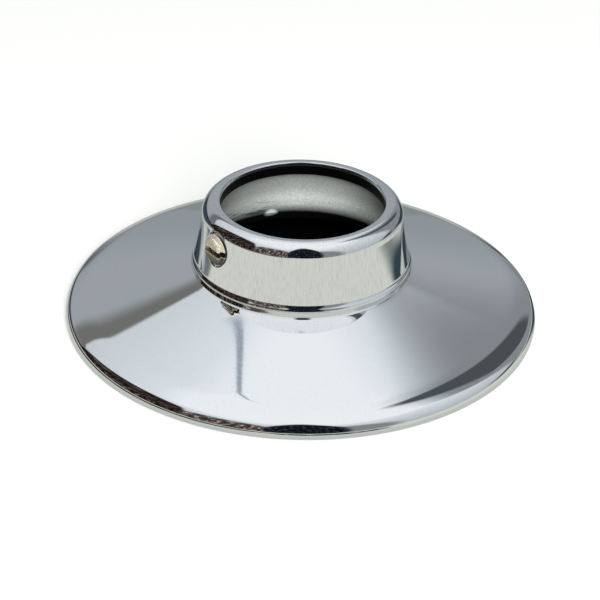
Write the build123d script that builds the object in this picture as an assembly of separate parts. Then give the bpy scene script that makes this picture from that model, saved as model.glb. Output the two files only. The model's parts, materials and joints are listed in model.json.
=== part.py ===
from build123d import *
from math import hypot, sqrt
import os

# Shower arm escutcheon: a thin plated casting with a coned flange and a collar, and its slotted set screw.
# Millimetres. The rear rim stands on z = 0, the arm passes along Z, the set screw points along Y.

# Flange and collar, measured on the outside of the section
flange_diameter = 63.5
overall_height = 16.3
rim_corner_height = 2.0    # where the cone would meet the upright edge of the rim
rim_radius = 1.8
ease_width = 2.45          # band inside the rim where the cone falls off more steeply
ease_drop = 0.42           # how far that puts the rim corner below the cone's line
rim_edge = 0.25            # chamfer on the outer edge of the rear face
foot_height = 7.0          # where the cone would meet the collar side
collar_spread = 1.52       # how much wider the collar side stands there than at the top
flare_radius = 40.0        # hollow sweep of the collar side
shoulder_radius = 2.0

# Bead round the foot of the collar: round above, straight down to the foot corner
bead_radius = 0.68
bead_lift = 0.62           # centre of its rounding above the foot corner

# Lip that guides the arm: half inch pipe with a slip clearance
pipe_diameter = 21.34
arm_clearance = 0.23
lip_width = 2.32           # from the bore to the collar side, carried up to the top face
lip_depth = 1.9
lip_edge = 0.15            # chamfer at the top of the bore

# Inside: the flange wall, the drafted collar wall, and a bevel from one to the other
flange_wall = 1.3
collar_wall = 1.3
inner_foot_lift = 0.5      # lower end of the inner collar wall above the foot corner
inner_foot_bevel = 1.7     # across the bevel, outwards

# Set screw: number 8 thread, an eighth of an inch long
screw_diameter = 4.1
screw_length = 3.175
screw_drop = 3.45          # axis below the top face
screw_proud = 0.8          # outer end beyond the collar side
screw_chamfer = 0.42
slot_width = 0.75
slot_depth = 0.95
cup_diameter = 1.9
cup_depth = 0.55

# Tapped hole and the boss inside the collar that carries it
thread_clearance = 0.04
mouth_chamfer = 0.22
boss_radius = 3.6
boss_setback = 0.3         # face of the boss behind the lip's bore

rim = flange_diameter / 2
bore_radius = pipe_diameter / 2 + arm_clearance
collar_top_radius = bore_radius + lip_width
foot_radius = collar_top_radius + collar_spread
inner_foot_height = foot_height + inner_foot_lift
screw_height = overall_height - screw_drop
hole_radius = screw_diameter / 2 + thread_clearance
boss_face = bore_radius + boss_setback
lip_under = overall_height - lip_depth
cone_slope = (foot_height - rim_corner_height) / (rim - foot_radius)
from_base = (Align.CENTER, Align.CENTER, Align.MIN)

os.makedirs("parts", exist_ok=True)


def side_radius(height):
    # Radius of the collar side at a height, on the arc from the foot corner to the top.
    across = foot_radius - collar_top_radius
    up = overall_height - foot_height
    chord = hypot(across, up)
    reach = sqrt(flare_radius**2 - (chord / 2) ** 2)
    centre_r = (foot_radius + collar_top_radius) / 2 + reach * up / chord
    centre_z = (foot_height + overall_height) / 2 + reach * across / chord
    return centre_r - sqrt(flare_radius**2 - (height - centre_z) ** 2)


def under_height(r):
    # Underside of the cone at a radius: the top of the cone less the flange wall.
    return foot_height - cone_slope * (r - foot_radius) - flange_wall * hypot(1, cone_slope)


def corner(shape, r, z):
    # The corner of a flat shape that lies nearest to a place.
    return shape.vertices().sort_by_distance(Vertex(r, z, 0))[0]


def turned(face):
    return revolve(Plane.XZ * face, Axis.Z)


def along_screw(start):
    # A plane across the screw's axis at a distance from the arm's axis, facing out.
    return Plane((0, -start, screw_height), x_dir=(1, 0, 0), z_dir=(0, -1, 0))


# Section of the casting: the inside as straight runs, the collar side as an arc
inner_top = side_radius(lip_under) - collar_wall
inner_foot = side_radius(inner_foot_height) - collar_wall
bevel_end = inner_foot + inner_foot_bevel
rim_inner = rim - flange_wall
rim_corner = rim_corner_height - ease_drop
ease_start = rim - ease_width
ease_height = rim_corner_height + cone_slope * ease_width
middle = (foot_height + overall_height) / 2
side = ThreePointArc(
    (foot_radius, foot_height),
    (side_radius(middle), middle),
    (collar_top_radius, overall_height),
)
runs = Polyline(
    (collar_top_radius, overall_height),
    (bore_radius + lip_edge, overall_height),
    (bore_radius, overall_height - lip_edge),
    (bore_radius, lip_under),
    (inner_top, lip_under),
    (inner_foot, inner_foot_height),
    (bevel_end, under_height(bevel_end)),
    (rim_inner, under_height(rim_inner)),
    (rim_inner, 0),
    (rim - rim_edge, 0),
    (rim, rim_edge),
    (rim, rim_corner),
    (ease_start, ease_height),
    (foot_radius, foot_height),
)
section = make_face([side, runs])
section = fillet(corner(section, rim, rim_corner), rim_radius)
section = fillet(corner(section, collar_top_radius, overall_height), shoulder_radius)
bead = Circle(bead_radius) & Rectangle(bead_radius, bead_radius, align=Align.MIN)
bead += Rectangle(bead_radius, bead_lift, align=(Align.MIN, Align.MAX))
section += Pos(foot_radius - bead_radius, foot_height + bead_lift) * bead
body = turned(section)

# Boss under the lip: a round-ended pad from the wall to just behind the bore
pad_top = lip_under + lip_depth / 2
pad_width = 2 * boss_radius
pad = Circle(boss_radius) & Pos(0, -boss_radius) * Rectangle(pad_width, pad_width)
pad += Pos(0, (pad_top - screw_height) / 2) * Rectangle(pad_width, pad_top - screw_height)
pad = Pos(0, screw_height) * pad
half_wall = collar_wall / 2
reach = Polyline(
    (boss_face, inner_foot_height),
    (inner_foot + half_wall, inner_foot_height),
    (inner_top + half_wall, lip_under),
    (inner_top + half_wall, pad_top),
    (boss_face, pad_top),
    close=True,
)
body += extrude(Plane.XZ * pad, rim) & turned(make_face(reach))

# Tapped hole through the boss, with a mouth countersunk square to the leaning collar side
lean = side_radius(screw_height - 0.5) - side_radius(screw_height + 0.5)
mouth = Plane((0, -side_radius(screw_height), screw_height), x_dir=(1, 0, 0), z_dir=(0, -1, lean))
body -= along_screw(0) * Cylinder(hole_radius, rim, align=from_base)
body -= mouth * Pos(0, 0, -2 * mouth_chamfer) * Cone(
    hole_radius - mouth_chamfer,
    hole_radius + 2 * mouth_chamfer,
    3 * mouth_chamfer,
    align=from_base,
)

# Set screw: chamfered ends, a slot across the outer end and a cup in the point
screw_end = side_radius(screw_height) + screw_proud
screw_tip = screw_end - screw_length
screw = Cylinder(screw_diameter / 2, screw_length, align=from_base)
screw = chamfer(screw.edges().filter_by(GeomType.CIRCLE), screw_chamfer)
screw -= Pos(0, 0, screw_length - slot_depth) * Box(
    2 * screw_diameter, slot_width, 2 * slot_depth, align=from_base
)
screw -= Cone(cup_diameter / 2, 0, cup_depth, align=from_base)
screw = along_screw(screw_tip) * screw

export_step(body, "parts/escutcheon_body.step")
export_step(screw, "parts/set_screw.step")
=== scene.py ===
import json
import math
import bpy
import numpy as np
from mathutils import Matrix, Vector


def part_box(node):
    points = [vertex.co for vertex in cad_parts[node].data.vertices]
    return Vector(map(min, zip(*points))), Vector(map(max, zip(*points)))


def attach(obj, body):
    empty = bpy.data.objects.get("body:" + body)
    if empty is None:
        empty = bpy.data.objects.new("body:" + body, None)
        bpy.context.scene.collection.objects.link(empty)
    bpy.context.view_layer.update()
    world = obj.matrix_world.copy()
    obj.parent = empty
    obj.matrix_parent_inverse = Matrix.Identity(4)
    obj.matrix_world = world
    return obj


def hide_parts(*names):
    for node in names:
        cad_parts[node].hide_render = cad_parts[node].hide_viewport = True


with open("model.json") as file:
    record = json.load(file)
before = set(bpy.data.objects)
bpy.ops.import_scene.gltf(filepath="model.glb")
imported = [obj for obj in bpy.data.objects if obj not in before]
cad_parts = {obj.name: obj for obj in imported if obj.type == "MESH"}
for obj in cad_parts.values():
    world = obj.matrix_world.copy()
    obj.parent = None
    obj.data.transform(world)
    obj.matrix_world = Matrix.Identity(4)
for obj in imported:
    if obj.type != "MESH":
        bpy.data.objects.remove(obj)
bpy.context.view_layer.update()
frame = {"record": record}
mm = 0.001

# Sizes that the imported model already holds, in millimetres
bodyLow, bodyHigh = (np.array(corner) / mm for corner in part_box("escutcheon_body"))
screwLow, screwHigh = (np.array(corner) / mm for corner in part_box("set_screw"))
armBore = next(m for m in frame["record"]["mounts"] if m["name"] == "arm_bore")
rimRadius = bodyHigh[0]
topHeight = bodyHigh[2]
boreRadius = armBore["dims"]["r_mm"]
screwRadius = (screwHigh[0] - screwLow[0]) / 2
screwHeight = (screwHigh[2] + screwLow[2]) / 2
screwEnd = -screwLow[1]      # outer end, measured out from the arm's axis
screwTip = -screwHigh[1]
print("frame loaded: rim radius", round(rimRadius, 2), "mm, height", round(topHeight, 2), "mm")


def toLinear(hexColour):
    # sRGB hex to linear: the standard curve, a power of 2.4 above a short straight foot
    parts = [int(hexColour[i:i + 2], 16) / 255 for i in (1, 3, 5)]
    return tuple(c / 12.92 if c < 0.04045 else ((c + 0.055) / 1.055) ** 2.4 for c in parts) + (1.0,)


def addNode(tree, kind, inputs=None, ramp=None, **settings):
    # one node with its settings; an input given as a socket is linked, anything else is set as a value
    node = tree.nodes.new(kind)
    for name, value in settings.items():
        setattr(node, name, value)
    if ramp:
        elements = node.color_ramp.elements
        while len(elements) < len(ramp):
            elements.new(0.5)
        for element, (place, colour) in zip(elements, ramp):
            element.position = place
            element.color = toLinear(colour)
    for name, value in (inputs or {}).items():
        if isinstance(value, bpy.types.NodeSocket):
            tree.links.new(value, node.inputs[name])
        else:
            node.inputs[name].default_value = value
    return node


def newMaterial(name):
    material = bpy.data.materials.new(name)
    material.use_nodes = True
    material.node_tree.nodes.clear()
    return material, material.node_tree


def makeObject(name, verts, faces, material):
    # verts in millimetres, faces as one array of corner indices or a list of such arrays
    groups = faces if isinstance(faces, list) else [faces]
    sizes = np.concatenate([np.full(len(g), g.shape[1]) for g in groups])
    corners = np.concatenate([g.ravel() for g in groups])
    mesh = bpy.data.meshes.new(name)
    mesh.vertices.add(len(verts))
    mesh.vertices.foreach_set("co", (verts * mm).astype(np.float32).ravel())
    mesh.loops.add(len(corners))
    mesh.loops.foreach_set("vertex_index", corners.astype(np.int32))
    mesh.polygons.add(len(sizes))
    mesh.polygons.foreach_set("loop_start", np.r_[0, np.cumsum(sizes)[:-1]].astype(np.int32))
    mesh.polygons.foreach_set("use_smooth", np.ones(len(sizes), bool))
    mesh.update(calc_edges=True)
    mesh.validate()
    mesh.materials.append(material)
    piece = bpy.data.objects.new(name, mesh)
    bpy.context.scene.collection.objects.link(piece)
    return piece


def gridFaces(index, closed=False):
    # quads of a grid of vertex numbers, wrapped round in its second direction when closed
    if closed:
        index = np.concatenate([index, index[:, :1]], 1)
    return np.stack([index[:-1, :-1], index[:-1, 1:], index[1:, 1:], index[1:, :-1]], -1).reshape(-1, 4)


def smoothStep(low, high, value):
    t = np.clip((value - low) / (high - low), 0, 1)
    return t * t * (3 - 2 * t)


def ranged(tree, value, low, high, start=0.0, end=1.0):
    # a value carried from one range to another and held at its ends
    return addNode(tree, "ShaderNodeMapRange", {0: value, 1: low, 2: high, 3: start, 4: end}).outputs[0]


def combined(tree, operation, first, second):
    return addNode(tree, "ShaderNodeMath", {0: first, 1: second}, operation=operation).outputs[0]


def mixed(tree, share, first, second):
    # two colours, each a hex value or a socket, mixed by a share
    first, second = (toLinear(c) if isinstance(c, str) else c for c in (first, second))
    return addNode(tree, "ShaderNodeMix", {0: share, 6: first, 7: second}, data_type="RGBA").outputs[2]


def noiseAt(tree, place, width, detail, rise=None, roughness=0.5):
    # noise with lumps of a width in mm, and of another length along Z where one is given
    scale = 1 / (width * mm)
    if rise:
        stretch = (scale, scale, 1 / (rise * mm))
        place = addNode(tree, "ShaderNodeMapping", {"Vector": place, "Scale": stretch}).outputs[0]
        scale = 1.0
    return addNode(tree, "ShaderNodeTexNoise", {
        "Vector": place, "Scale": scale, "Detail": detail, "Roughness": roughness,
    }).outputs["Fac"]


# Materials. Lengths are in millimetres
chromeLook = {
    "colour": "#ECEFF1", "scuffColour": "#A6AAAA", "roughness": 0.02,
    "peelWidth": 0.9, "peelHeight": 0.00035,                # ripple of the plate over the casting
    "scuffWidth": 0.2, "scuffLength": 6.0, "scuffHaze": 0.05,
    "coneScuff": 0.08, "collarScuff": 0.3, "scuffFoot": 6.9, "scuffFull": 8.2,
    "blotchWidth": 9.0, "blotchHaze": 0.02,
}
satinLook = {
    "colour": "#F3FAF4", "shadow": "#1A1A19", "roughness": 0.6, "metallic": 0.05,
    "boreMetallic": 0.95, "boreFoot": 14.2, "boreFull": 14.6,
    "stainFoot": 7.2, "stainTop": 16.3,                     # heights that the painted shade ramp runs between
    # painted shade by height: black at the inner foot and in the lip's bore, lightest low on the wall, darker up to
    # the lip
    "stain": (
        (0.0, "#000000"), (0.033, "#202020"), (0.18, "#F0F0F0"), (0.3, "#FFFFFF"),
        (0.49, "#C4C4C4"), (0.76, "#9C9C9C"), (0.81, "#141414"), (1.0, "#0A0A0A"),
    ),
    "grainWidth": 0.28, "grainShade": 0.72,
    "dimSide": (-0.58, -0.81, 0.0), "dimFrom": 1.0, "dimTo": 11.0, "dimShade": 0.5,    # the side darkened by painted shade
    "markWidth": 0.42, "markLength": 3.2, "markShade": 0.25,                # tool marks along that side
    "markFrom": 3.0, "markTo": 6.0, "markTop": 10.2, "markFull": 9.2,
    "spotPlace": (-12.8, 3.7, 7.4), "spotRadius": 1.15,     # a painted glint at a place on the inner foot
}


def satinShadeAndWear(tree, look, place, height):
    # how light the inside is: painted shade towards the lip, the foot and one side, a coarse grain, tool marks low
    # on that side, and a painted glint at one place on the foot
    # painted shade by height, from the ramp above
    level = ranged(tree, height, look["stainFoot"] * mm, look["stainTop"] * mm)
    stain = addNode(tree, "ShaderNodeValToRGB", {0: level}, ramp=look["stain"]).outputs[0]
    grain = noiseAt(tree, place, look["grainWidth"], 3.0)
    shadeAndWear = combined(tree, "MULTIPLY", stain, ranged(tree, grain, 0.3, 0.7, look["grainShade"], 1.0))
    # painted shade: one side of the inside is made darker
    aside = addNode(tree, "ShaderNodeVectorMath", {0: place, 1: look["dimSide"]}, operation="DOT_PRODUCT")
    aside = aside.outputs["Value"]
    dim = ranged(tree, aside, look["dimFrom"] * mm, look["dimTo"] * mm, 1.0, look["dimShade"])
    shadeAndWear = combined(tree, "MULTIPLY", shadeAndWear, dim)
    mark = noiseAt(tree, place, look["markLength"], 2.0, look["markWidth"])
    mark = ranged(tree, mark, 0.5, 0.62, 1.0, look["markShade"])
    markArea = combined(
        tree, "MULTIPLY", ranged(tree, aside, look["markFrom"] * mm, look["markTo"] * mm),
        ranged(tree, height, look["markTop"] * mm, look["markFull"] * mm),
    )
    markDim = addNode(tree, "ShaderNodeMix", {0: markArea, 2: 1.0, 3: mark}).outputs[0]
    shadeAndWear = combined(tree, "MULTIPLY", shadeAndWear, markDim)
    # painted glint: a bright spot at the inner foot
    glintCentre = tuple(v * mm for v in look["spotPlace"])
    away = addNode(tree, "ShaderNodeVectorMath", {0: place, 1: glintCentre}, operation="DISTANCE").outputs["Value"]
    paintedGlint = ranged(tree, away, look["spotRadius"] * mm, look["spotRadius"] / 2 * mm)
    return combined(tree, "MAXIMUM", shadeAndWear, paintedGlint)


def chromePlate(look, inside):
    # Bright chrome plate on polished zinc alloy: a near mirror that ripples slightly where it follows the casting,
    # with hair scuffs from handling; inside it turns to a satin, unpolished plate that only shows soft light.
    material, tree = newMaterial("brightChromePlate")
    place = addNode(tree, "ShaderNodeTexCoord").outputs["Object"]
    height = addNode(tree, "ShaderNodeSeparateXYZ", {0: place}).outputs[2]
    satin = addNode(tree, "ShaderNodeAttribute", attribute_name="satinShare").outputs["Fac"]
    peel = noiseAt(tree, place, look["peelWidth"], 1.5)
    scuff = noiseAt(tree, place, look["scuffWidth"], 2.0, look["scuffLength"])
    blotch = noiseAt(tree, place, look["blotchWidth"], 3.0)
    haze = combined(
        tree, "ADD", ranged(tree, scuff, 0.55, 0.8, 0.0, look["scuffHaze"]),
        ranged(tree, blotch, 0.35, 0.75, 0.0, look["blotchHaze"]),
    )
    bright = combined(tree, "ADD", haze, look["roughness"])
    rough = addNode(tree, "ShaderNodeMix", {0: satin, 2: bright, 3: inside["roughness"]})
    # the inside's colour: painted shade and a painted glint, with real grain and tool marks
    satinColour = mixed(tree, satinShadeAndWear(tree, inside, place, height), inside["shadow"], inside["colour"])
    # outside, the scuffs leave faint lines, stronger on the collar
    scuffShare = ranged(
        tree, height, look["scuffFoot"] * mm, look["scuffFull"] * mm, look["coneScuff"], look["collarScuff"],
    )
    plate = mixed(tree, ranged(tree, scuff, 0.45, 0.8, 0.0, scuffShare), look["colour"], look["scuffColour"])
    # the lip's bore is near fully metallic, and dark by the painted shade at the top of the height ramp
    inner = ranged(
        tree, height, inside["boreFoot"] * mm, inside["boreFull"] * mm, inside["metallic"], inside["boreMetallic"],
    )
    metallic = addNode(tree, "ShaderNodeMix", {0: satin, 2: 1.0, 3: inner})
    bump = addNode(tree, "ShaderNodeBump", {"Height": peel, "Strength": 1.0, "Distance": look["peelHeight"] * mm})
    shader = addNode(tree, "ShaderNodeBsdfPrincipled", {
        "Base Color": mixed(tree, satin, plate, satinColour), "Metallic": metallic.outputs[0],
        "Roughness": rough.outputs[0], "Normal": bump.outputs[0],
    })
    addNode(tree, "ShaderNodeOutputMaterial", {"Surface": shader.outputs[0]})
    return material


screwLook = {
    "colour": "#F4EEDC", "grainColour": "#D8CDB8", "valleyColour": "#4A4334", "oilColour": "#5A5440",
    "metallic": 0.6, "roughness": 0.2, "grainRoughness": 0.16, "grainWidth": 0.5, "grainHeight": 0.01,
    "valleyTop": 1.9, "valleyFull": 1.65, "endDepth": 0.6, "endFade": 0.15,
    "oilTop": -0.2, "oilFull": -0.8, "oilShare": 0.8,       # heights about the screw's axis
}


def dullNickelSteel(look):
    # Nickel plated steel, cold headed and thread rolled: a dull, slightly yellow shine, with painted shade in the
    # thread valleys and over the lower half.
    material, tree = newMaterial("dullNickelSteel")
    place = addNode(tree, "ShaderNodeTexCoord").outputs["Object"]
    grain = noiseAt(tree, place, look["grainWidth"], 4.0, roughness=0.65)
    colour = addNode(tree, "ShaderNodeValToRGB", {0: grain}, ramp=(
        (0.3, look["grainColour"]), (0.55, look["colour"]),
    )).outputs[0]
    # valleys, given painted shade: the distance from the screw's axis, away from its flat end
    part = addNode(tree, "ShaderNodeSeparateXYZ", {0: place})
    rise = combined(tree, "SUBTRACT", part.outputs[2], screwHeight * mm)
    across = addNode(tree, "ShaderNodeCombineXYZ", {0: part.outputs[0], 1: rise})
    radius = addNode(tree, "ShaderNodeVectorMath", {0: across.outputs[0]}, operation="LENGTH").outputs["Value"]
    deep = ranged(tree, radius, look["valleyTop"] * mm, look["valleyFull"] * mm)
    endFoot = look["endDepth"] - screwEnd
    behind = ranged(tree, part.outputs[1], endFoot * mm, (endFoot + look["endFade"]) * mm)
    colour = mixed(tree, combined(tree, "MULTIPLY", deep, behind), colour, look["valleyColour"])
    # painted shade darkens the lower half
    lowerShade = ranged(tree, rise, look["oilTop"] * mm, look["oilFull"] * mm, 0.0, look["oilShare"])
    colour = mixed(tree, lowerShade, colour, look["oilColour"])
    rough = ranged(tree, grain, 0.3, 0.7, look["roughness"] + look["grainRoughness"], look["roughness"])
    bump = addNode(tree, "ShaderNodeBump", {"Height": grain, "Strength": 0.5, "Distance": look["grainHeight"] * mm})
    shader = addNode(tree, "ShaderNodeBsdfPrincipled", {
        "Base Color": colour, "Metallic": look["metallic"], "Roughness": rough, "Normal": bump.outputs[0],
    })
    addNode(tree, "ShaderNodeOutputMaterial", {"Surface": shader.outputs[0]})
    return material


chrome = chromePlate(chromeLook, satinLook)
nickelSteel = dullNickelSteel(screwLook)
print("materials made")

# The casting: a section carried round the arm's axis, with a tapped hole and a boss on the -Y side
castingSizes = {
    "rimCornerHeight": 2.0, "rimRound": 1.8, "rimEaseAt": 29.3, "rimEase": 14.0, "rimTilt": 25.0, "rearEdge": 0.28,
    "footHeight": 7.0, "collarSpread": 1.52, "flareRadius": 40.0, "footCrease": 0.04,
    "beadRadius": 0.68, "beadLift": 0.62, "coveRadius": 1.0,
    "lipWidth": 2.32, "lipDepth": 1.9, "lipEdge": 0.2, "shoulderRadius": 2.0,
    "flangeWall": 1.3, "collarWall": 1.3, "innerFootLift": 0.5, "innerFootBevel": 1.7,
    "threadClearance": 0.04, "mouthChamfer": 0.22, "bossRadius": 3.6, "bossSetback": 0.3,
    "threadPitch": 0.794, "threadGroove": 0.2,
    "lipUnderRound": 0.2, "innerTopRound": 0.45, "innerFootRound": 0.3, "bevelRound": 0.8, "rimInnerRound": 0.5,
    "rearInnerRound": 0.2, "bossBlend": 0.35,
    # how finely the section and the patch round the hole are divided: steps in mm and degrees, then counts
    "outsideStep": 0.8, "outsideTurn": 3.2, "insideStep": 0.45, "insideTurn": 8.0,
    "beadRows": 14, "coveRows": 12, "flareRows": 30, "shoulderRows": 24,
    "columns": 300, "patchHalfColumns": 13, "fillRings": 9, "tubeRows": 44,
    "windowMargin": 0.75, "windowTopInside": 0.45, "outerRingGap": 0.05, "innerRingGap": 0.12,
    "tubeStart": 0.3, "tubeEnd": 0.1,
}


def arcRun(centre, radius, start, end, count):
    # the centre plus the radius times the cosine and sine of evenly spaced angles
    turn = np.linspace(start, end, count)
    return np.stack([centre[0] + radius * np.cos(turn), centre[1] + radius * np.sin(turn)], 1)


def roundedRun(corners, step, arcStep):
    # a run of straight lines whose inner corners are rounded: each arc touches both lines of its corner, at the
    # radius times the tangent of half the turn from it, and the lines are divided into equal steps
    places = np.array([c[:2] for c in corners], float)
    pieces = [places[:1]]
    for before, here, after, (_, _, radius) in zip(places, places[1:], places[2:], corners[1:]):
        into = (here - before) / np.linalg.norm(here - before)
        away = (after - here) / np.linalg.norm(after - here)
        turn = math.acos(np.clip(into @ away, -1, 1))
        reach = radius * math.tan(turn / 2)
        bisector = (away - into) / np.linalg.norm(away - into)
        centre = here + bisector * radius / math.cos(turn / 2)
        start, end = here - into * reach, here + away * reach
        first = math.atan2(*(start - centre)[::-1])
        last = math.atan2(*(end - centre)[::-1])
        last = first + (last - first + math.pi) % (2 * math.pi) - math.pi
        pieces.append(straightRun(pieces[-1][-1], start, step))
        pieces.append(arcRun(centre, radius, first, last, max(int(turn / arcStep), 4) + 1))
    pieces.append(straightRun(pieces[-1][-1], places[-1], step))
    pieces.append(places[-1:])
    return np.concatenate(pieces)


def straightRun(start, end, step):
    # evenly spaced places between two ends, the ends left out
    count = max(int(np.ceil(np.linalg.norm(end - start) / step)), 1)
    return start + (end - start) * np.linspace(0, 1, count + 1)[1:-1, None]


def circlesMeet(first, firstRadius, second, secondRadius):
    # where two circles meet: along the line of centres by the chord rule, then square to it, on the upper side
    gap = np.array(second) - np.array(first)
    length = np.linalg.norm(gap)
    along = (length**2 + firstRadius**2 - secondRadius**2) / (2 * length)
    square = math.sqrt(firstRadius**2 - along**2)
    return np.array(first) + gap / length * along + np.array([-gap[1], gap[0]]) / length * square


def castingSection(size):
    # the outline of the section, as (radius, height), from the rear face round the outside and back by the inside;
    # also how far each row is drawn in over the boss, and the rows where the collar, the inside and the satin start
    topRadius = boreRadius + size["lipWidth"]
    footRadius = topRadius + size["collarSpread"]
    foot = np.array([footRadius, size["footHeight"]])
    top = np.array([topRadius, topHeight])
    chord = np.linalg.norm(top - foot)
    square = np.array([top[1] - foot[1], foot[0] - top[0]]) / chord
    flare = size["flareRadius"]
    flareCentre = (foot + top) / 2 + square * math.sqrt(flare**2 - (chord / 2) ** 2)
    slope = (size["footHeight"] - size["rimCornerHeight"]) / (rimRadius - footRadius)

    def sideRadius(height):
        return flareCentre[0] - math.sqrt(flare**2 - (height - flareCentre[1]) ** 2)

    def underHeight(radius):
        return size["footHeight"] - slope * (radius - footRadius) - size["flangeWall"] * math.hypot(1, slope)

    # shoulder: a circle that touches the hollow side and the top face
    shoulder = size["shoulderRadius"]
    shoulderHeight = topHeight - shoulder
    reach = math.sqrt((flare + shoulder) ** 2 - (flareCentre[1] - shoulderHeight) ** 2)
    shoulderCentre = np.array([flareCentre[0] - reach, shoulderHeight])
    shoulderStart = math.atan2(*(flareCentre - shoulderCentre)[::-1])
    # bead and the cove above it, which touches the bead and the hollow side
    bead, cove = size["beadRadius"], size["coveRadius"]
    beadCentre = np.array([footRadius - bead, size["footHeight"] + size["beadLift"]])
    coveCentre = circlesMeet(beadCentre, bead + cove, flareCentre, flare - cove)
    beadEnd = math.atan2(*(coveCentre - beadCentre)[::-1])
    coveEnd = math.atan2(*(coveCentre - flareCentre)[::-1]) % (2 * math.pi)
    sideEnd = math.atan2(*(shoulderCentre - flareCentre)[::-1]) % (2 * math.pi)

    lipUnder = topHeight - size["lipDepth"]
    innerTop = sideRadius(lipUnder) - size["collarWall"]
    innerFootHeight = size["footHeight"] + size["innerFootLift"]
    innerFoot = sideRadius(innerFootHeight) - size["collarWall"]
    bevelEnd = innerFoot + size["innerFootBevel"]
    rimInner = rimRadius - size["flangeWall"]
    rear = (rimInner + 0.5, 0, 0)
    # the cone eases down a little before it turns over the rim
    easeHeight = size["footHeight"] - slope * (size["rimEaseAt"] - footRadius)
    cornerHeight = easeHeight - (rimRadius - size["rimEaseAt"]) * math.tan(math.radians(size["rimTilt"]))
    outside = roundedRun([
        rear, (rimRadius, 0, size["rearEdge"]), (rimRadius, cornerHeight, size["rimRound"]),
        (size["rimEaseAt"], easeHeight, size["rimEase"]),
        (footRadius, size["footHeight"], size["footCrease"]), (footRadius, beadCentre[1], 0),
    ], size["outsideStep"], math.radians(size["outsideTurn"]))
    collar = np.concatenate([
        arcRun(beadCentre, bead, 0, beadEnd, size["beadRows"])[1:],
        arcRun(coveCentre, cove, beadEnd + math.pi, coveEnd, size["coveRows"])[1:],
        arcRun(flareCentre, flare, coveEnd, sideEnd, size["flareRows"])[1:],
        arcRun(shoulderCentre, shoulder, shoulderStart, math.pi / 2, size["shoulderRows"])[1:],
    ])
    inside = roundedRun([
        tuple(collar[-1]) + (0,), (boreRadius, topHeight, size["lipEdge"]),
        (boreRadius, lipUnder, size["lipUnderRound"]), (innerTop, lipUnder, size["innerTopRound"]),
        (innerFoot, innerFootHeight, size["innerFootRound"]), (bevelEnd, underHeight(bevelEnd), size["bevelRound"]),
        (rimInner, underHeight(rimInner), size["rimInnerRound"]), (rimInner, 0, size["rearInnerRound"]), rear,
    ], size["insideStep"], math.radians(size["insideTurn"]))[1:-1]
    section = np.concatenate([outside, collar, inside])
    # how far the wall is drawn in where the boss stands: to the boss face, and on the lip's underside in proportion
    bossFace = boreRadius + size["bossSetback"]
    share = (innerTop - bossFace) / (innerTop - boreRadius)
    pull = np.where(section[:, 1] > lipUnder - 0.3, (section[:, 0] - boreRadius) * share, section[:, 0] - bossFace)
    row = np.arange(len(section))
    firstInside = len(outside) + len(collar)
    onInnerWall = (row >= firstInside) & (section[:, 1] < topHeight - 0.6) & (section[:, 0] < bevelEnd)
    pull = np.where(onInnerWall & (section[:, 0] > boreRadius), np.maximum(pull, 0), 0)
    satinStart = firstInside + np.argmax(section[firstInside:, 1] < topHeight - size["lipEdge"] - 0.1)
    marks = {"collar": len(outside), "inside": firstInside, "satin": satinStart}
    return section, pull, marks


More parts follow.
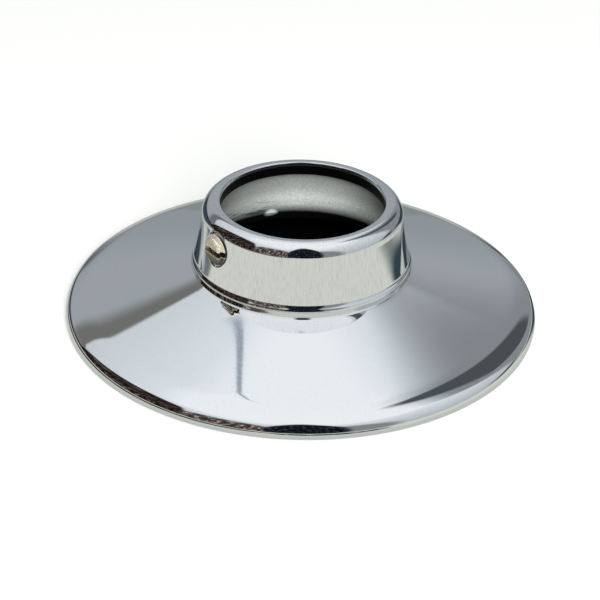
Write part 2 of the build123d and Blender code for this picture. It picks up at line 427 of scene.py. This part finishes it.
def makeCasting(size):
    section, pull, marks = castingSection(size)
    rows, columns = len(section), size["columns"]
    half = size["patchHalfColumns"]
    middle = columns // 2
    rowNumber = np.arange(rows)
    turns = -math.pi / 2 + 2 * math.pi * (np.arange(columns) - middle) / columns
    holeRadius = screwRadius + size["threadClearance"]

    def surface(row, turn):
        # radius and height of the section at a row, carried round by the turn; the wall is drawn in over the boss,
        # a round-ended pad below the lip, by a smooth step across its outline
        radius = np.interp(row, rowNumber, section[:, 0])
        height = np.interp(row, rowNumber, section[:, 1])
        across = radius * np.cos(turn)
        outline = np.hypot(across, np.minimum(height - screwHeight, 0)) - size["bossRadius"]
        pad = np.where(np.sin(turn) < 0, smoothStep(size["bossBlend"], -size["bossBlend"], outline), 0)
        radius = radius - pad * np.interp(row, rowNumber, pull)
        return np.stack([radius * np.cos(turn), radius * np.sin(turn), height + 0 * radius], -1)

    grid = surface(rowNumber[:, None], turns[None, :])
    index = np.arange(rows * columns).reshape(rows, columns)

    # two windows of the grid, one outside and one inside the collar wall, with as many rows each
    holeTop, holeLow = screwHeight + holeRadius, screwHeight - holeRadius
    outerHeights, innerHeights = section[marks["collar"]:, 1], section[marks["inside"]:, 1]
    top = marks["collar"] + np.argmax(outerHeights > holeTop + size["windowMargin"])
    innerTop = marks["inside"] + np.argmax(innerHeights < holeTop + size["windowTopInside"])
    innerLow = marks["inside"] + np.argmax(innerHeights < holeLow - size["windowMargin"])
    low = top - (innerLow - innerTop)
    left, right = middle - half, middle + half

    def windowEdge(lowRow, topRow):
        # grid places round a window, as seen from outside: along the low edge, up, back along the top and down
        acrossCount, upCount = right - left, abs(topRow - lowRow)
        up = np.sign(topRow - lowRow) * np.arange(upCount)
        over = np.arange(acrossCount)
        rowPath = np.concatenate([
            np.full(acrossCount, lowRow), lowRow + up, np.full(acrossCount, topRow), topRow - up,
        ])
        columnPath = np.concatenate([left + over, np.full(upCount, right), right - over, np.full(upCount, left)])
        return rowPath, columnPath

    outerEdge, innerEdge = windowEdge(low, top), windowEdge(innerLow, innerTop)
    edgePlaces = grid[outerEdge]
    angle = np.arctan2(edgePlaces[:, 2] - screwHeight, edgePlaces[:, 0])

    def ringRows(radius, first, last):
        # the row and turn at which a circle about the screw's axis meets the outside or the inside of the wall
        across, height = radius * np.cos(angle), screwHeight + radius * np.sin(angle)
        span = np.arange(first, last)
        order = np.argsort(section[span, 1], kind="stable")
        row = np.interp(height, section[span, 1][order], span[order])
        wall = np.interp(row, rowNumber, section[:, 0] - pull)
        return row, -math.pi / 2 + np.arcsin(across / wall)

    def fill(edge, ring, shares):
        # rings between a window's edge and a circle, each a blend of their rows and turns
        rowEdge, turnEdge = edge[0], turns[edge[1]]
        share = np.array(shares)[:, None]
        return surface(rowEdge + (ring[0] - rowEdge) * share, turnEdge + (ring[1] - turnEdge) * share)

    # countersunk mouth and threaded tube: circles about the screw's axis, moved in from the outside wall
    mouth = holeRadius + size["mouthChamfer"]
    outerRows = marks["collar"], marks["inside"]
    innerRows = marks["inside"], innerLow + 6                # a few rows past the window
    outerRing = ringRows(mouth + size["outerRingGap"], *outerRows)
    innerRing = ringRows(holeRadius + size["innerRingGap"], *innerRows)
    outerFill = fill(outerEdge, outerRing, np.linspace(0, 1, size["fillRings"])[1:])
    innerFill = fill(innerEdge, innerRing, np.linspace(1, 0, size["fillRings"])[:-1])
    steps = np.linspace(0, 1, size["tubeRows"])[:, None]
    outerPlace = surface(*ringRows(holeRadius, *outerRows))
    innerPlace = surface(*ringRows(holeRadius, *innerRows))
    tubeStart, tubeEnd = outerPlace[:, 1] + size["tubeStart"], innerPlace[:, 1] - size["tubeEnd"]
    depth = tubeStart + (tubeEnd - tubeStart) * steps
    # thread: the tube's radius grows by a groove that winds once round for each pitch
    phase = depth / size["threadPitch"] + angle / (2 * math.pi)
    groove = size["threadGroove"] * (0.5 - 0.5 * np.cos(2 * math.pi * phase)) * smoothStep(0, 0.12, steps)
    tubeRadius = holeRadius + groove * smoothStep(1, 0.9, steps)
    mouthRadius = np.array([mouth, mouth - 0.05, holeRadius + 0.03])[:, None]
    mouthDepth = outerPlace[:, 1] + np.array([0.015, 0.06, 0.24])[:, None]
    ringRadius = np.concatenate([mouthRadius + 0 * angle, tubeRadius])
    ringDepth = np.concatenate([mouthDepth, depth])
    tube = np.stack([ringRadius * np.cos(angle), ringDepth, screwHeight + ringRadius * np.sin(angle)], -1)

    chain = np.concatenate([outerFill, tube, innerFill])
    count = len(angle)
    chainIndex = rows * columns + np.arange(chain.shape[0] * count).reshape(-1, count)
    chainIndex = np.concatenate([index[outerEdge][None], chainIndex, index[innerEdge][None]])
    keep = np.ones((rows, columns), bool)
    keep[low:top, left:right] = False
    keep[innerTop:innerLow, left:right] = False
    wrapped = np.concatenate([index, index[:1]])
    faces = np.concatenate([gridFaces(wrapped, closed=True)[keep.ravel()], gridFaces(chainIndex, closed=True)])
    verts = np.concatenate([grid.reshape(-1, 3), chain.reshape(-1, 3)])
    satin = np.repeat(np.where(rowNumber >= marks["satin"], 1.0, 0.0), columns)
    tubeSatin = np.r_[np.zeros(len(outerFill) + 2), np.ones(len(chain) - len(outerFill) - 2)]
    satin = np.concatenate([satin, np.repeat(tubeSatin, count)])
    used, place = np.unique(faces, return_inverse=True)
    piece = makeObject("escutcheonCasting", verts[used], place.reshape(-1, 4), chrome)
    share = piece.data.attributes.new("satinShare", "FLOAT", "POINT")
    share.data.foreach_set("value", satin[used].astype(np.float32))
    print("casting made:", rows, "rows,", len(faces), "faces, window rows", low, top, innerTop, innerLow)
    return piece


castingPiece = makeCasting(castingSizes)
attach(castingPiece, "escutcheon")
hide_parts("escutcheon_body")

# The set screw: a thread wound on a core, with a slot across its outer end and a cup in its point
screwSizes = {
    "threadPitch": 0.794, "threadDepth": 0.45, "endRadius": 1.6, "endRound": 0.06, "crestPhase": 0.89,
    "slotWidth": 0.75, "slotDepth": 0.95, "cupRadius": 0.95, "cupDepth": 0.55, "columns": 144, "rowsPerPitch": 20,
}


def makeScrew(size):
    # radius of the thread: the crest less a rounded groove that winds once round for each pitch, and no more than
    # a cone of 45 degrees allows at each end
    length = screwEnd - screwTip
    turn = 2 * math.pi * np.arange(size["columns"]) / size["columns"]
    along = np.linspace(0, length, int(length / size["threadPitch"] * size["rowsPerPitch"]) + 1)[:, None]
    phase = (along / size["threadPitch"] + turn / (2 * math.pi) + size["crestPhase"]) % 1
    groove = size["threadDepth"] * smoothStep(0.06, 0.42, 0.5 - np.abs(phase - 0.5))
    endCone = size["endRadius"] - size["endRound"] + np.minimum(along, length - along)
    radius = np.minimum(screwRadius - groove, endCone)
    # rows from the middle of the outer end to the middle of the cup
    flat = np.array([0.35, 0.7, 0.93])[:, None] * (size["endRadius"] - size["endRound"]) + 0 * turn
    cupShare = np.array([1.0, 0.98, 0.66, 0.33])[:, None]
    cup = cupShare * size["cupRadius"] + 0 * turn
    cupAlong = length - (1 - cupShare) * size["cupDepth"] + 0 * turn
    cupAlong[0] = length
    radii = np.concatenate([flat, radius, cup])
    alongs = np.concatenate([0 * flat, along + 0 * turn, cupAlong])
    ring = np.stack([radii * np.cos(turn), -screwEnd + alongs, screwHeight + radii * np.sin(turn)], -1)
    poles = np.array([[0, -screwEnd, screwHeight], [0, -screwTip - size["cupDepth"], screwHeight]])
    verts = np.concatenate([ring.reshape(-1, 3), poles])
    index = np.arange(ring.shape[0] * ring.shape[1]).reshape(ring.shape[:2])
    around = np.roll(index, -1, 1)
    firstPole, lastPole = index.size, index.size + 1
    caps = np.concatenate([
        np.stack([np.full(size["columns"], firstPole), around[0], index[0]], 1)[:, ::-1],
        np.stack([np.full(size["columns"], lastPole), around[-1], index[-1]], 1),
    ])
    piece = makeObject("slottedSetScrew", verts, [gridFaces(index, closed=True), caps], nickelSteel)
    # slot: a bar taken out across the end, level with the rear face
    reach, high, deep = screwRadius * 1.2, size["slotWidth"] / 2, size["slotDepth"]
    corner = np.array([[x, y, z] for x in (-reach, reach) for y in (-0.5, deep) for z in (-high, high)])
    corner += (0, -screwEnd, screwHeight)
    sides = np.array([[0, 1, 3, 2], [4, 6, 7, 5], [0, 4, 5, 1], [2, 3, 7, 6], [0, 2, 6, 4], [1, 5, 7, 3]])
    bar = makeObject("slotBar", corner, sides, nickelSteel)
    cut = piece.modifiers.new("slot", "BOOLEAN")
    cut.operation, cut.solver, cut.object = "DIFFERENCE", "EXACT", bar
    shaped = bpy.data.meshes.new_from_object(piece.evaluated_get(bpy.context.evaluated_depsgraph_get()))
    piece.modifiers.clear()
    piece.data = shaped
    shaped.name = "slottedSetScrew"
    bpy.data.objects.remove(bar)
    shaped.set_sharp_from_angle(angle=math.radians(38))
    print("set screw made:", len(shaped.polygons), "faces")
    return piece


screwPiece = makeScrew(screwSizes)
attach(screwPiece, "set_screw")
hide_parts("set_screw")

# Camera: where the picture was taken from, turned about the arm's axis so that the screw is seen on the left
view = {
    "turn": 54.5, "distance": 200.0, "height": 119.925, "pitch": 0.537, "roll": 0.0225, "yaw": -0.0004,
    "focalPixels": 1709.702, "imagePixels": 600, "sensor": 36.0,
}


def addCamera(setup):
    pitch, yaw, roll = setup["pitch"], setup["yaw"], setup["roll"]
    forward = np.array([math.sin(yaw) * math.cos(pitch), math.cos(yaw) * math.cos(pitch), -math.sin(pitch)])
    right = np.array([math.cos(yaw), -math.sin(yaw), 0])
    up = np.cross(right, forward)
    right, up = (math.cos(roll) * right + math.sin(roll) * up, math.cos(roll) * up - math.sin(roll) * right)
    axes = np.eye(4)
    axes[:3, 0], axes[:3, 1], axes[:3, 2] = right, up, -forward
    axes[:3, 3] = np.array([0, -setup["distance"], setup["height"]]) * mm
    data = bpy.data.cameras.new("photoCamera")
    data.sensor_width = setup["sensor"]
    data.lens = setup["focalPixels"] * setup["sensor"] / setup["imagePixels"]
    data.clip_start, data.clip_end = 0.01, 20
    camera = bpy.data.objects.new("photoCamera", data)
    bpy.context.scene.collection.objects.link(camera)
    camera.matrix_world = Matrix.Rotation(math.radians(setup["turn"]), 4, "Z") @ Matrix(axes.tolist())
    bpy.context.scene.camera = camera
    print("camera placed")


addCamera(view)

# Studio: a bright overcast dome with darker flags in it, as a chrome part needs to show its form. Azimuth is in
# degrees from straight behind the part, right positive, or from the camera where the side says so.
skyRamp = (
    (0.0, "#B9BFC2"), (0.28, "#CBD1D5"), (0.5, "#DADFE3"), (0.64, "#E6ECF1"), (0.71, "#FAFCFE"), (1.0, "#FFFFFF"),
)
flags = (
    # label, side, azimuth, elevation, half width, half height, squareness, softness, lean, shade, streak shade
    ("backScreen", "back", -10, -1.3, 58, 43, 2, 0.03, 0, "#767471", None),
    ("backScreenMiddle", "back", 0, -6, 55, 46, 2, 0.12, 0, "#A4A9AE", None),
    ("horizonShade", "back", 0, -4, 70, 14, 3, 1.4, 0, "#959BA0", None),
    ("lowLeft", "back", -50, 1, 30, 7, 3, 0.5, 0, "#2A3641", None),
    ("lowRight", "back", 54, 1, 30, 7, 3, 0.5, 0, "#22323A", None),
    ("rightScreen", "back", 46, 20, 21, 42, 3, 0.45, 0, "#8A8F92", None),
    ("rightFlag", "back", 43.5, 42, 7, 26, 2.2, 0.3, 0.25, "#4E5355", None),
    ("lowFlag", "camera", -36, 4, 25, 44, 3, 0.25, 0, "#3F332D", "#D8CDC4"),
    ("leftFlag", "camera", -86, -2, 32, 54, 3, 0.08, 0, "#1A1412", "#8A7C72"),
    ("cameraSide", "camera", 24, 15, 22, 30, 2, 0.5, 0, "#8A8B8C", None),
    ("cameraFlag", "camera", 4, 26, 20, 48, 2.4, 0.25, 0, "#101116", "#4A5060"),
    ("thinFlag", "back", -21.1, 61.4, 0.5, 6.4, 2, 0.8, 0.7, "#98A0AC", None),
)


def softWindow(tree, across, up, centre, half, power, soft):
    # superellipse: the power mean of the distances from the centre, each over its half size, faded out round one
    share = []
    for value, middle, size in zip((across, up), centre, half):
        away = combined(tree, "SUBTRACT", value, float(middle))
        away = addNode(tree, "ShaderNodeMath", {0: away}, operation="ABSOLUTE").outputs[0]
        share.append(combined(tree, "POWER", combined(tree, "DIVIDE", away, float(size)), float(power)))
    reach = combined(tree, "POWER", combined(tree, "ADD", *share), 1 / power)
    return addNode(tree, "ShaderNodeMapRange", {
        0: reach, 1: 1 + soft / 2, 2: 1 - soft / 2,
    }, interpolation_type="SMOOTHSTEP").outputs[0]


def leaning(tree, across, along, lean, middle):
    # a coordinate sheared by another: for each unit from the middle it moves by the lean
    if not lean:
        return across
    sheared = addNode(tree, "ShaderNodeMath", {0: along, 1: lean, 2: -lean * middle}, operation="MULTIPLY_ADD")
    return combined(tree, "ADD", across, sheared.outputs[0])


def streaked(tree, across, up, shade, streak):
    # a shade broken by upright streaks: noise that runs about seven times as far up as across
    place = addNode(tree, "ShaderNodeCombineXYZ", {0: across, 1: up})
    wide = addNode(tree, "ShaderNodeMapping", {"Vector": place.outputs[0], "Scale": (0.4, 0.06, 1.0)})
    noise = addNode(tree, "ShaderNodeTexNoise", {
        "Vector": wide.outputs[0], "Scale": 1.0, "Detail": 3.0, "Roughness": 0.7,
    })
    return mixed(tree, ranged(tree, noise.outputs["Fac"], 0.5, 0.72), shade, streak)


def addSky(ramp, patches, turn):
    world = bpy.data.worlds.new("studioDome")
    bpy.context.scene.world = world
    world.use_nodes = True
    tree = world.node_tree
    tree.nodes.clear()
    direction = addNode(tree, "ShaderNodeTexCoord").outputs["Generated"]
    turned = addNode(tree, "ShaderNodeVectorRotate", {
        "Vector": direction, "Angle": -math.radians(turn),
    }, rotation_type="Z_AXIS")
    part = addNode(tree, "ShaderNodeSeparateXYZ", {0: turned.outputs[0]})
    towards = combined(tree, "MULTIPLY", part.outputs[1], -1.0)
    degrees = {}
    for name, depth in (("back", part.outputs[1]), ("camera", towards)):
        azimuth = combined(tree, "ARCTAN2", part.outputs[0], depth)
        degrees[name] = addNode(tree, "ShaderNodeMath", {0: azimuth}, operation="DEGREES").outputs[0]
    rise = addNode(tree, "ShaderNodeMath", {0: part.outputs[2]}, operation="ARCSINE")
    elevation = addNode(tree, "ShaderNodeMath", {0: rise.outputs[0]}, operation="DEGREES").outputs[0]
    colour = addNode(tree, "ShaderNodeValToRGB", {0: ranged(tree, elevation, 0.0, 90.0)}, ramp=ramp).outputs[0]
    for _, side, azimuth, middle, halfWidth, halfHeight, power, soft, lean, shade, streak in patches:
        across = leaning(tree, degrees[side], elevation, -lean, middle)
        mask = softWindow(tree, across, elevation, (azimuth, middle), (halfWidth, halfHeight), power, soft)
        if streak:
            shade = streaked(tree, across, elevation, shade, streak)
        colour = mixed(tree, mask, colour, shade)
    seen = addNode(tree, "ShaderNodeLightPath").outputs["Is Camera Ray"]
    shown = mixed(tree, seen, colour, "#FFFFFF")
    background = addNode(tree, "ShaderNodeBackground", {"Color": shown, "Strength": 1.0})
    addNode(tree, "ShaderNodeOutputWorld", {"Surface": background.outputs[0]})
    print("sky made:", len(patches), "flags")


addSky(skyRamp, flags, view["turn"])

floorLook = {
    "halfWidth": 4000.0, "colour": "#E2E2DE", "reflected": "#DADBD1", "reflectedBehind": "#8C9092",
    "nearRim": "#C9CBC6", "nearRimWidth": 3.0, "nearRimFull": 0.5, "underPart": "#0C0C0B", "lift": 0.24,
    "shadeFoot": 2.5, "shadeEdge": 0.5, "behindFull": 80.0,
}
mats = (
    # label, azimuth from the camera, radius, half width in degrees, half depth in mm, squareness, softness,
    # lean in mm for each degree, shade, streak shade
    ("farFront", -55, 620.0, 45, 430.0, 4, 0.1, 0, "#5A4A41", None),
    ("farLeft", -133, 1040.0, 24, 980.0, 4, 0.04, 0, "#3E4A56", None),
    ("farRight", 137, 1030.0, 20, 982.0, 4, 0.04, 0, "#36434C", None),
    ("frontLeftMat", -52, 39.5, 46, 5.0, 4, 0.25, 0, "#3A2B24", "#9A8E86"),
    ("frontMat", 8, 39.5, 16, 5.0, 4, 0.25, 0, "#242528", "#C9C9C5"),
    # the shade mats are painted shadows near the part, seen only in chrome
    ("leftShade", -106, 43.0, 10, 5.0, 2.5, 0.8, 0, "#66707A", None),
    ("backLeftShade", -140, 33.5, 26, 3.0, 2.5, 0.8, 0, "#7A7F7C", None),
    ("backRightShade", 142, 33.5, 26, 3.0, 2.5, 0.8, 0, "#8A8F8E", None),
    ("rightShade", 112, 30.0, 33, 9.1, 3, 0.4, 0.3, "#36454C", None),
)


def addFloor(look, patches, turn):
    # Pale studio table: matt, white to the eye, with the part's own soft shadow; under the part it is painted near
    # black, a painted shadow.
    # Chrome shows it a little warmer, with a painted contact shadow round the rim and darker mats, the shade mats
    # being painted shadows near the part.
    material, tree = newMaterial("paleTable")
    place = addNode(tree, "ShaderNodeTexCoord").outputs["Object"]
    rays = addNode(tree, "ShaderNodeLightPath").outputs
    away = addNode(tree, "ShaderNodeVectorMath", {0: place}, operation="LENGTH").outputs["Value"]
    radius = combined(tree, "MULTIPLY", away, 1 / mm)
    outside = ranged(tree, radius, rimRadius - look["shadeFoot"], rimRadius - look["shadeEdge"])
    turned = addNode(tree, "ShaderNodeVectorRotate", {
        "Vector": place, "Angle": -math.radians(turn),
    }, rotation_type="Z_AXIS")
    part = addNode(tree, "ShaderNodeSeparateXYZ", {0: turned.outputs[0]})
    azimuth = combined(tree, "ARCTAN2", part.outputs[0], combined(tree, "MULTIPLY", part.outputs[1], -1.0))
    degrees = addNode(tree, "ShaderNodeMath", {0: azimuth}, operation="DEGREES").outputs[0]
    behind = ranged(tree, part.outputs[1], 0.0, look["behindFull"] * mm)
    reflected = mixed(tree, behind, look["reflected"], look["reflectedBehind"])
    # painted shadow: the floor that chrome sees darkens close to the rim
    near = addNode(tree, "ShaderNodeMapRange", {
        0: radius, 1: rimRadius + look["nearRimWidth"], 2: rimRadius + look["nearRimFull"],
    }, interpolation_type="SMOOTHSTEP").outputs[0]
    reflected = mixed(tree, near, reflected, look["nearRim"])
    for _, middle, matRadius, halfWidth, halfDepth, power, soft, lean, shade, streak in patches:
        depth = leaning(tree, radius, degrees, lean, middle)
        mask = softWindow(tree, degrees, depth, (middle, matRadius), (halfWidth, halfDepth), power, soft)
        if streak:
            shade = streaked(tree, degrees, radius, shade, streak)
        reflected = mixed(tree, mask, reflected, shade)
    # painted shadow: under the part the floor's colour is near black
    matt = mixed(tree, outside, look["underPart"], look["colour"])
    table = addNode(tree, "ShaderNodeBsdfDiffuse", {"Color": matt})
    lifted = combined(tree, "MULTIPLY", combined(tree, "MULTIPLY", outside, rays["Is Camera Ray"]), look["lift"])
    glow = addNode(tree, "ShaderNodeEmission", {"Color": (1, 1, 1, 1), "Strength": lifted})
    lit = addNode(tree, "ShaderNodeAddShader", {0: table.outputs[0], 1: glow.outputs[0]})
    mirrored = addNode(tree, "ShaderNodeEmission", {"Color": reflected, "Strength": outside})
    metalSees = combined(tree, "MAXIMUM", rays["Is Glossy Ray"], rays["Is Transmission Ray"])
    shown = addNode(tree, "ShaderNodeMixShader", {0: metalSees, 1: lit.outputs[0], 2: mirrored.outputs[0]})
    addNode(tree, "ShaderNodeOutputMaterial", {"Surface": shown.outputs[0]})
    edge = np.linspace(-look["halfWidth"], look["halfWidth"], 3)
    x, y = np.meshgrid(edge, edge)
    floor = makeObject("paleTable", np.stack([x, y, 0 * x], -1).reshape(-1, 3),
                       gridFaces(np.arange(9).reshape(3, 3)), material)
    print("floor laid")


addFloor(floorLook, mats, view["turn"])

lampLook = {"size": 600.0, "distance": 1000.0, "elevation": 30.0, "aside": 10.0, "watts": 13.0}


def addLamp(look, turn):
    # one wide softbox above the camera, for a soft shadow and the light inside the collar; chrome doesn't show it
    data = bpy.data.lights.new("softbox", "AREA")
    data.size = look["size"] * mm
    data.energy = look["watts"]
    lamp = bpy.data.objects.new("softbox", data)
    tilt = math.radians(90 - look["elevation"])
    swing = Matrix.Rotation(math.radians(turn + look["aside"]), 4, "Z") @ Matrix.Rotation(tilt, 4, "X")
    lamp.matrix_world = swing @ Matrix.Translation((0, 0, look["distance"] * mm))
    lamp.visible_glossy = False
    bpy.context.scene.collection.objects.link(lamp)


addLamp(lampLook, view["turn"])

settings = bpy.context.scene.view_settings
settings.view_transform = "Standard"
